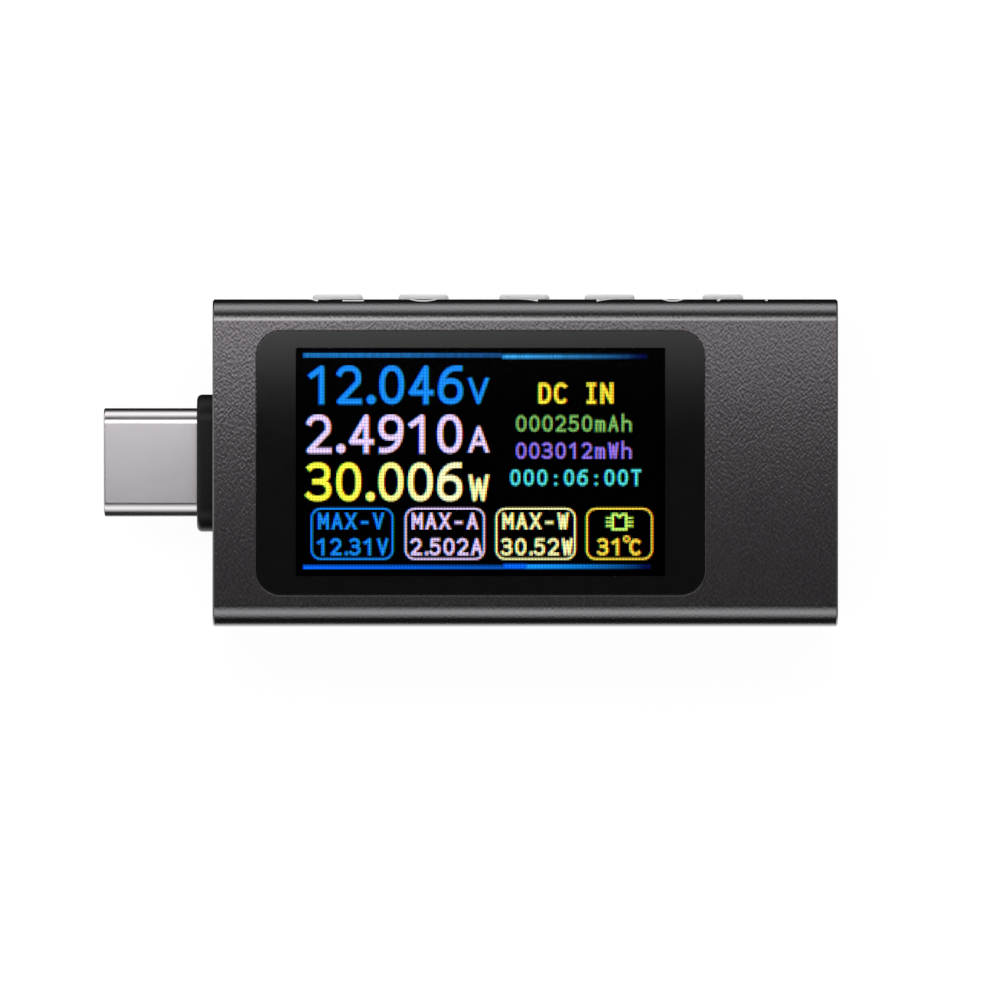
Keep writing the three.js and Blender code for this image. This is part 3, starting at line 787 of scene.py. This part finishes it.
def draw_glyph(letter, left, top, width, height, thickness, color):
    """One glyph in a box given by its left and top edges, strokes kept inside it."""
    half = thickness / 2
    for stroke in GLYPHS[letter]:
        points = [
            (left + half + x * (width - thickness), top + half + (1 - y) * (height - thickness))
            for x, y in stroke
        ]
        overshoot = max(max(y for _, y in stroke) - 1, 0) * height
        draw_line(points, thickness, color, (top - overshoot, top + height))


def draw_text(text, left, top, pitch, width, height, thickness, color, dot=1.25, dot_share=0.4):
    """Letters at an even pitch; a point takes its own share of it."""
    x = left
    for letter in text:
        if letter in ".:":
            middle = x + (dot_share * 0.36 if letter == "." else 0.38) * pitch
            draw_dot(middle, top + height - thickness * dot / 2, thickness * dot, color)
            if letter == ":":
                draw_dot(middle, top + height * 0.42, thickness * dot, color)
            x += pitch * (dot_share if letter == "." else 1)
        else:
            draw_glyph(letter, x, top, width, height, thickness, color)
            x += pitch


def draw_frame(left, top, right, bottom, radius, thickness, color):
    """A rounded box."""
    outline = rounded_outline(right - left, bottom - top, radius, steps=8)
    centre_x, centre_y = (left + right) / 2, (top + bottom) / 2
    points = [(centre_x + x, centre_y + y) for x, y in outline]
    draw_line(points + points[:1], thickness, color)


UNEVEN_COLUMNS = np.random.default_rng(11).random((1, PICTURE_COLUMNS, 1))


def draw_bar(left, right, top, bottom, color, striped=0.0):
    """A filled level bar, its columns dimmed unevenly by up to a share."""
    area = area_near([(left, top), (right, bottom)], PIXEL)
    x, y = pixel_x[area], pixel_y[area]
    inside = np.minimum(np.minimum(x - left, right - x), np.minimum(y - top, bottom - y))
    light(area, inside, np.asarray(color) * (1 - striped * UNEVEN_COLUMNS))


def draw_chip_symbol(x, y):
    """A small chip seen from above: a notched body with three legs on each side."""
    side, foot, notch = 0.5, 0.56, 0.2
    body = [
        (-notch, -foot), (0, -foot + notch), (notch, -foot), (side, -foot),
        (side, foot), (-side, foot), (-side, -foot), (-notch, -foot),
    ]
    draw_line([(x + a, y + b) for a, b in body], 0.17, LIME)
    for leg in (-0.3, 0.0, 0.3):
        for end in (-1, 1):
            draw_line([(x + end * side, y + leg), (x + end * 0.94, y + leg)], 0.12, LIME)


def draw_display():
    """The generic readings that the display shows, in millimetres from its top left corner."""
    big = dict(pitch=2.2, width=1.84, height=2.88, thickness=0.39, dot=1.72, dot_share=0.44)
    unit = dict(width=1.5, height=1.98, thickness=0.28)
    draw_text("12.046", 0.84, 1.27, color=BLUE, **big)
    draw_glyph("V", 12.86, 2.17, color=BLUE, **unit)
    draw_text("2.4910", 0.76, 4.94, color=LAVENDER, **big)
    draw_glyph("A", 12.86, 5.8, color=LAVENDER, **unit)
    draw_text("30.006", 0.76, 8.52, color=fade(YELLOW, PALE_YELLOW, 4, 11), **big)
    draw_glyph("W", 12.86, 9.42, color=CREAM, **unit)
    draw_text("DC IN", 18.08, 2.56, 1.16, 0.94, 1.57, 0.25, GOLDEN)
    counter = dict(pitch=0.985, width=0.74, height=1.2, thickness=0.16)
    draw_text("000250mAh", 16.42, 5.0, color=GREEN, **counter)
    draw_text("003012mWh", 16.42, 7.03, color=VIOLET, **counter)
    draw_text("000:06:00T", 15.99, 9.04, 1.005, 0.74, 1.2, 0.18, CYAN)
    small = dict(pitch=1.03, width=0.8, height=1.25, thickness=0.19, dot=1.35, dot_share=0.38)
    amber = fade(AMBER, ORANGE, 22, 26)
    boxes = (
        (1.11, 7.22, BLUE, "MAX-V", "12.31V"),
        (8.12, 14.04, LAVENDER, "MAX-A", "2.502A"),
        (14.90, 20.83, CREAM, "MAX-W", "30.52W"),
        (21.66, 26.58, amber, "", ""),
    )
    for left, right, color, title, value in boxes:
        draw_frame(left + 0.03, 11.97, right - 0.03, 15.74, 0.7, 0.12, color)
        draw_text(title, left + 0.5, 12.27, color=color, **small)
        draw_text(value, left + 0.42, 14.19, color=color, **small)
    draw_chip_symbol(24.13, 12.96)
    draw_text("31", 22.5, 14.19, color=amber, **small)
    draw_frame(24.47, 14.04, 24.85, 14.42, 0.19, 0.13, amber)
    draw_glyph("C", 24.88, 14.25, 0.82, 1.2, 0.21, amber)
    draw_bar(0.52, 15.4, 0.34, 0.65, fade(STEEL_BLUE, DEEP_BLUE, 3, 15), 0.4)
    draw_bar(15.4, 26.2, 0.44, 0.74, fade(SKY, DARK_BLUE, 15.4, 25.6), 0.4)
    draw_bar(0.52, 15.5, 16.22, 16.48, fade(PURE_BLUE, NAVY, 1, 15))
    draw_bar(15.5, 17.15, 16.13, 16.44, PURE_BLUE)
    draw_bar(17.15, 26.5, 16.15, 16.44, fade(AZURE, DARK_BLUE, 18, 26))


def display_picture():
    """The display's glass: a thin slab with a face for each pixel on top."""
    low = box_mm("display_panel")[1].z + GLASS_GAP
    high = LENS_LOW.z - LENS_GAP
    left = LENS_X - PICTURE_WIDTH / 2
    upper = PICTURE_Y + PICTURE_HEIGHT / 2
    wide = PICTURE_COLUMNS + 1
    tall = PICTURE_ROWS + 1
    corners = [
        ((left + column * PIXEL) * MM, (upper - row * PIXEL) * MM, high * MM)
        for row in range(tall) for column in range(wide)
    ]
    faces = [
        (row * wide + column, (row + 1) * wide + column,
         (row + 1) * wide + column + 1, row * wide + column + 1)
        for row in range(PICTURE_ROWS) for column in range(PICTURE_COLUMNS)
    ]
    lit_corners = 4 * len(faces)
    top_corners = [0, (tall - 1) * wide, tall * wide - 1, wide - 1]
    bottom_corners = [len(corners) + index for index in range(4)]
    corners += [(*corners[index][:2], low * MM) for index in top_corners]
    edges = [
        [row * wide for row in range(tall)],
        [(tall - 1) * wide + column for column in range(wide)],
        [row * wide + wide - 1 for row in reversed(range(tall))],
        list(reversed(range(wide))),
    ]
    for index, edge in enumerate(edges):
        faces.append([*reversed(edge), bottom_corners[index], bottom_corners[(index + 1) % 4]])
    faces.append(list(reversed(bottom_corners)))
    mesh = bpy.data.meshes.new("display_picture")
    mesh.from_pydata(corners, [], faces)
    shades = np.zeros((len(mesh.loops), 4), np.float32)
    shades[:, 3] = 1
    shades[:lit_corners, :3] = np.repeat(picture.reshape(-1, 3), 4, axis=0)
    stored = mesh.attributes.new("picture", "FLOAT_COLOR", "CORNER")
    stored.data.foreach_set("color", shades.ravel())
    mesh.materials.append(LIT)
    made = bpy.data.objects.new("display_picture", mesh)
    bpy.context.scene.collection.objects.link(made)
    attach(made, "meter")


draw_display()
display_picture()


# ---- end caps

def cap_plate(side):
    """The face plate of an end cap, flush with the sleeve's end."""
    size = (2 * (SIDE_Y - WALL - FIT), FRONT_Z - 2 * WALL - 2 * FIT)
    start, end = sorted((side * (END_X - PLATE_DEPTH), side * END_X))
    rounds = (PLATE_ROUND, 0) if side < 0 else (0, PLATE_ROUND)
    return bar(size, CAVITY_RADIUS - FIT, "X", start, end, (0, MID_Z), *rounds)


def plug_cap():
    face = -END_X - COLLAR_LENGTH
    collar = bar(
        COLLAR_SIZE, COLLAR_CORNER, "X", face, -END_X + COLLAR_ROOT, (0, MID_Z),
        COLLAR_ROUND, 0, steps=16)
    whole = combined(cap_plate(-1), [collar], "UNION")
    hole = connector_hole(PLUG_SIZE, face - HOLE_PAST, -END_X + HOLE_DEPTH)
    shape = combined(whole, [hole], "DIFFERENCE")
    add_piece("plug_cap", shape, BLACK, replaces=["plug_end_cap"])


def port_cap():
    hole = connector_hole(PORT_SIZE, END_X - HOLE_DEPTH, END_X + HOLE_PAST)
    shape = combined(cap_plate(1), [hole], "DIFFERENCE")
    add_piece("port_cap", shape, BLACK, replaces=["port_end_cap"])


plug_cap()
port_cap()


# ---- connectors

def connector_tube(size, start, end, lip_start, lip_end):
    """A drawn steel shell whose lips are rounded inside and out."""
    inner_size = (size[0] - 2 * SHELL_WALL, size[1] - 2 * SHELL_WALL)
    stations = end_stations(start, end, lip_start, lip_end)
    outer = section_rings(
        size, size[1] / 2, "X", stations, (0, MID_Z), ROUND_STEPS)
    inner = section_rings(
        inner_size, inner_size[1] / 2, "X", [(at, -inset) for at, inset in stations],
        (0, MID_Z), ROUND_STEPS)
    return tube(outer, inner)


add_piece(
    "plug_tube", connector_tube(PLUG_SIZE, PLUG_LOW.x, PLUG_HIGH.x, PLUG_LIP, 0.0), STEEL,
    replaces=["plug_shell"])
add_piece(
    "port_tube", connector_tube(PORT_SIZE, PORT_LOW.x, PORT_HIGH.x, 0.0, PORT_LIP), STEEL,
    replaces=["receptacle_shell"])


# ---- keys and slider

def key_cap(node, size, body):
    """A key that stands out of the side, with soft edges and its hidden flange."""
    low, high = box_mm(node)
    x = (low.x + high.x) / 2
    stem = bar(size, KEY_CORNER, "Y", low.y, high.y, (x, MID_Z), 0, KEY_ROUND)
    flange = bar(
        (high.x - low.x, high.z - low.z), FLANGE_CORNER, "Y", low.y, low.y + FLANGE_DEPTH,
        (x, MID_Z), FLANGE_ROUND, FLANGE_ROUND)
    shape = combined(stem, [flange], "UNION")
    add_piece(f"{node}_cap", shape, KEY, body, replaces=[node])


for key in KEYS:
    key_cap(f"{key}_button", KEY_SIZE, f"{key}_key")
key_cap("slide_knob", SLIDER_SIZE, "switch_slider")


# ---- legends

# Height of the legends' middles, and the ink's width, half thickness and longest straight step.
LEGEND_Z = 8.5
INK_WIDTH = 0.2
INK_LIFT = 0.012
LEGEND_STEP = 0.15


def on_side(x, z, lift):
    """A point on the sleeve's +Y side or on the round above it, lifted off the surface."""
    round_start = FRONT_Z - EDGE_RADIUS
    turn = math.asin(max(z - round_start, 0.0) / EDGE_RADIUS)
    radius = EDGE_RADIUS + lift
    return (
        x,
        SIDE_Y - EDGE_RADIUS + radius * math.cos(turn),
        min(z, round_start) + radius * math.sin(turn),
    )


def finely(points, closed):
    """The same line with a point every LEGEND_STEP or less, so that it can follow the round."""
    ends = points[1:] + points[:1] if closed else points[1:]
    fine = []
    for (x0, z0), (x1, z1) in zip(points, ends):
        count = max(1, math.ceil(math.hypot(x1 - x0, z1 - z0) / LEGEND_STEP))
        fine += [
            (x0 + (x1 - x0) * step / count, z0 + (z1 - z0) * step / count)
            for step in range(count)
        ]
    return fine if closed else fine + points[-1:]


def ink_stroke(points, closed=False):
    """A printed stroke: a thin closed strip along points (x, z), with mitred corners."""
    path = finely(points, closed)
    rings = []
    for index, point in enumerate(path):
        here = Vector(point)
        into = here - Vector(path[index - 1])
        out = Vector(path[(index + 1) % len(path)]) - here
        if not closed and index == 0:
            into = out
        if not closed and index == len(path) - 1:
            out = into
        along = (into.normalized() + out.normalized()).normalized()
        aside = Vector((-along.y, along.x))
        mitre = max(along.dot(into.normalized()), 0.4)
        reach = aside * (INK_WIDTH / 2 / mitre)
        left, right = here + reach, here - reach
        rings.append([
            on_side(*left, INK_LIFT), on_side(*right, INK_LIFT),
            on_side(*right, -INK_LIFT), on_side(*left, -INK_LIFT),
        ])
    return loft(rings, capped=not closed)


def legend(name, x, strokes):
    """A pictogram in white ink above a key; a stroke that ends where it starts is closed."""
    shapes = []
    for stroke in strokes:
        closed = stroke[0] == stroke[-1]
        points = [(x + a, LEGEND_Z + b) for a, b in stroke]
        shapes.append(ink_stroke(points[:-1] if closed else points, closed))
    add_piece(name, merged(*shapes), INK)


KEY_X = {key: sum(corner.x for corner in box_mm(f"{key}_button")) / 2 for key in KEYS}
KNOB_X = sum(corner.x for corner in box_mm("slide_knob")) / 2
legend("legend_back", KEY_X["back"], [
    [(-1.15, -0.7), (-0.85, -0.7)] + oval(-0.85, -0.1, 0.6, 0.6, -90, 90, 12) + [(-1.85, 0.5)],
    [(-1.45, 0.95), (-1.95, 0.5), (-1.45, 0.05)],
    [(0.4, 0.9), (2.0, 0.9)],
    [(0.4, 0.1), (2.0, 0.1)],
    [(0.4, -0.7), (2.0, -0.7)],
])
legend("legend_ok", KEY_X["ok"], [
    ring(0, 0, 1.05, 0.95),
    ring(0, 0, 0.3, 0.3),
])
legend("legend_left", KEY_X["left"], [[(0.9, 0.9), (-0.9, 0), (0.9, -0.9), (0.9, 0.9)]])
legend("legend_right", KEY_X["right"], [[(-0.9, 0.9), (0.9, 0), (-0.9, -0.9), (-0.9, 0.9)]])
legend("legend_switch", KNOB_X, [
    ring(-3.8, 0, 0.8, 0.95),
    [(0.35, -0.9), (-0.45, 0.95)],
    [(3.2, 0.95), (3.2, -0.9)],
])


# ---- inner pieces

def tongue_contacts():
    """The gold contacts along both faces of the receptacle's tongue."""
    low, high = box_mm("receptacle_tongue")
    count, pitch, width, thickness, edge = 12, 0.5, 0.25, 0.03, 0.01
    length, from_tip = 2.85, 0.35
    start, end = high.x - from_tip - length, high.x - from_tip
    shapes = []
    for face_z in (low.z, high.z):
        for index in range(count):
            centre = ((index - (count - 1) / 2) * pitch, face_z)
            shapes.append(bar((width, thickness), edge, "X", start, end, centre, edge, edge, 3))
    add_piece("tongue_contacts", merged(*shapes), GOLD)


tongue_contacts()


NODE_LOOKS = {
    "steel": STEEL, "contacts": GOLD, "connector_plastic": BLACK, "board": solder_mask(),
    "display": DISPLAY, **INNER_LOOKS,
}
SHOWN_BY_PIECES = {
    "housing_sleeve", "display_window", "plug_end_cap", "port_end_cap", "plug_shell",
    "receptacle_shell", "slide_knob", *(f"{key}_button" for key in KEYS),
}
for subpart in frame["record"]["subparts"]:
    if subpart["node"] not in SHOWN_BY_PIECES:
        node = frame["nodes"][subpart["node"]]
        node.data.materials.clear()
        node.data.materials.append(NODE_LOOKS[subpart["material_slot"]])


# ---- stage, light and camera

FLOOR_GAP = 0.02


def floor():
    """A pale light table under the meter, bright enough to leave only a faint shadow."""
    look = Look("floor_sheet", (0.12, 0.12, 0.12), 0.9)
    tone = look.noise(per_mm(0.04), 2.0)
    look.drive("Base Color", look.blend(tone, (0.11, 0.11, 0.11), (0.13, 0.13, 0.13)))
    look.shader.inputs["Emission Color"].default_value = (1, 1, 1, 1)
    look.shader.inputs["Emission Strength"].default_value = 0.93
    reach = 3.0
    made = sheet("floor", reach, -reach, reach, look.material)
    made.location.z = -FLOOR_GAP * MM
    made.visible_glossy = False


def sheet(name, half_length, from_y, to_y, material):
    """A flat stage sheet, in metres, centred on X."""
    mesh = bpy.data.meshes.new(name)
    mesh.from_pydata(
        [(-half_length, from_y, 0), (half_length, from_y, 0),
         (half_length, to_y, 0), (-half_length, to_y, 0)],
        [], [(0, 1, 2, 3)])
    mesh.materials.append(material)
    made = bpy.data.objects.new(name, mesh)
    bpy.context.scene.collection.objects.link(made)
    return made


# The softbox over the meter. It is brighter over the plug's end than over the other, by these
# factors at a span to each side of the middle, and its profile is (Y in millimetres, brightness).
SOFTBOX_HEIGHT = 60.0
SOFTBOX_HALF_LENGTH = 90.0
SOFTBOX_TILT_SPAN = 25.0
SOFTBOX_PLUG_END = 1.25
SOFTBOX_PORT_END = 0.81
SOFTBOX_PROFILE = (
    (0, 0.02), (3, 0.06), (6, 0.33), (9, 1.1), (12, 1.9), (16, 2.4), (26, 2.2),
    (32, 1.05), (38, 0.36), (45, 0.07), (54, 0.03),
)
# The rest of the studio, as glossy surfaces see it: brightness by the angle from straight up,
# positive towards +Y, as (degrees, brightness).
STUDIO_BANDS = (
    (-180, 1.2), (-145, 1.7), (-128, 1.15), (-117, 0.12), (-107, 0.03), (-78, 0.03), (-62, 0.75),
    (-46, 1.5), (-33, 1.15), (-20, 0.36), (-8, 0.03), (24, 0.03), (45, 0.12), (56, 0.5),
    (68, 1.3), (80, 1.6), (92, 1.25), (102, 0.55), (110, 0.16), (120, 0.02), (180, 0.02),
)
# Brightness towards the plug's end and towards the other end, and how far a direction has to
# point along X for these cards to begin and to cover the bands.
PLUG_END_CARD = 0.75
PORT_END_CARD = 0.35
CARD_BLEND = (0.6, 0.95)


def brightness_ramp(tree, place, stops):
    """A colour ramp through (place, brightness) stops; gives its output and its peak."""
    first, last = stops[0][0], stops[-1][0]
    peak = max(value for _, value in stops)
    share = tree.nodes.new("ShaderNodeMapRange")
    tree.links.new(place, share.inputs["Value"])
    set_range(share, first, last)
    ramp = tree.nodes.new("ShaderNodeValToRGB")
    tree.links.new(share.outputs["Result"], ramp.inputs["Fac"])
    elements = ramp.color_ramp.elements
    elements[0].position = 0
    elements[1].position = 1
    for at, _ in stops[1:-1]:
        elements.new((at - first) / (last - first))
    for element, (_, value) in zip(elements, stops):
        element.color = (value / peak, value / peak, value / peak, 1)
    return ramp.outputs["Color"], peak


def softbox():
    """A long feathered softbox over the meter's +Y side, which the camera doesn't see."""
    material = bpy.data.materials.new("softbox")
    material.use_nodes = True
    tree = material.node_tree
    tree.nodes.clear()
    place = tree.nodes.new("ShaderNodeSeparateXYZ")
    tree.links.new(tree.nodes.new("ShaderNodeTexCoord").outputs["Object"], place.inputs[0])
    stops = [(y * MM, value) for y, value in SOFTBOX_PROFILE]
    color, peak = brightness_ramp(tree, place.outputs["Y"], stops)
    glow = tree.nodes.new("ShaderNodeEmission")
    tree.links.new(color, glow.inputs["Color"])
    along = tree.nodes.new("ShaderNodeMapRange")
    tree.links.new(place.outputs["X"], along.inputs["Value"])
    span = SOFTBOX_TILT_SPAN * MM
    set_range(along, -span, span, SOFTBOX_PLUG_END * peak, SOFTBOX_PORT_END * peak)
    tree.links.new(along.outputs["Result"], glow.inputs["Strength"])
    output = tree.nodes.new("ShaderNodeOutputMaterial")
    tree.links.new(glow.outputs[0], output.inputs["Surface"])
    made = sheet("softbox", SOFTBOX_HALF_LENGTH * MM, stops[0][0], stops[-1][0], material)
    made.location.z = SOFTBOX_HEIGHT * MM
    made.visible_camera = False


def studio():
    """White for the camera, and bands of light and dark cards for everything else."""
    world = bpy.data.worlds.new("studio")
    bpy.context.scene.world = world
    world.use_nodes = True
    tree = world.node_tree
    tree.nodes.clear()

    def node(kind, **settings):
        return new_node(tree, kind, **settings)

    direction = node("ShaderNodeSeparateXYZ")
    tree.links.new(node("ShaderNodeTexCoord").outputs["Generated"], direction.inputs[0])
    angle = node("ShaderNodeMath", operation="ARCTAN2")
    tree.links.new(direction.outputs["Y"], angle.inputs[0])
    tree.links.new(direction.outputs["Z"], angle.inputs[1])
    stops = [(math.radians(degrees), value) for degrees, value in STUDIO_BANDS]
    color, peak = brightness_ramp(tree, angle.outputs[0], stops)
    across = node("ShaderNodeMath", operation="ABSOLUTE")
    tree.links.new(direction.outputs["X"], across.inputs[0])
    near_pole = node("ShaderNodeMapRange", interpolation_type="SMOOTHSTEP")
    tree.links.new(across.outputs[0], near_pole.inputs["Value"])
    set_range(near_pole, *CARD_BLEND)
    toned = node("ShaderNodeMix", data_type="RGBA")
    tree.links.new(near_pole.outputs["Result"], toned.inputs[0])
    tree.links.new(color, toned.inputs[6])
    cards = node("ShaderNodeMapRange")
    tree.links.new(direction.outputs["X"], cards.inputs["Value"])
    set_range(cards, -1, 1, PLUG_END_CARD / peak, PORT_END_CARD / peak)
    tree.links.new(cards.outputs["Result"], toned.inputs[7])
    banded = node("ShaderNodeBackground")
    tree.links.new(toned.outputs[2], banded.inputs["Color"])
    banded.inputs["Strength"].default_value = peak
    white = node("ShaderNodeBackground")
    white.inputs["Color"].default_value = (1, 1, 1, 1)
    chooser = node("ShaderNodeMixShader")
    tree.links.new(node("ShaderNodeLightPath").outputs["Is Camera Ray"], chooser.inputs["Fac"])
    tree.links.new(banded.outputs[0], chooser.inputs[1])
    tree.links.new(white.outputs[0], chooser.inputs[2])
    tree.links.new(chooser.outputs[0], node("ShaderNodeOutputWorld").inputs["Surface"])


def camera():
    """Straight down on the meter from a metre away, with a long lens."""
    view_width = 74.8
    distance = 1000.0
    centre = (-1.85, -2.81)
    data = bpy.data.cameras.new("camera")
    data.sensor_width = 36
    data.lens = data.sensor_width * (distance - FRONT_Z) / view_width
    data.clip_end = 10
    made = bpy.data.objects.new("camera", data)
    made.location = (centre[0] * MM, centre[1] * MM, distance * MM)
    bpy.context.scene.collection.objects.link(made)
    bpy.context.scene.camera = made


floor()
studio()
softbox()
camera()
bpy.context.scene.view_settings.view_transform = "Standard"
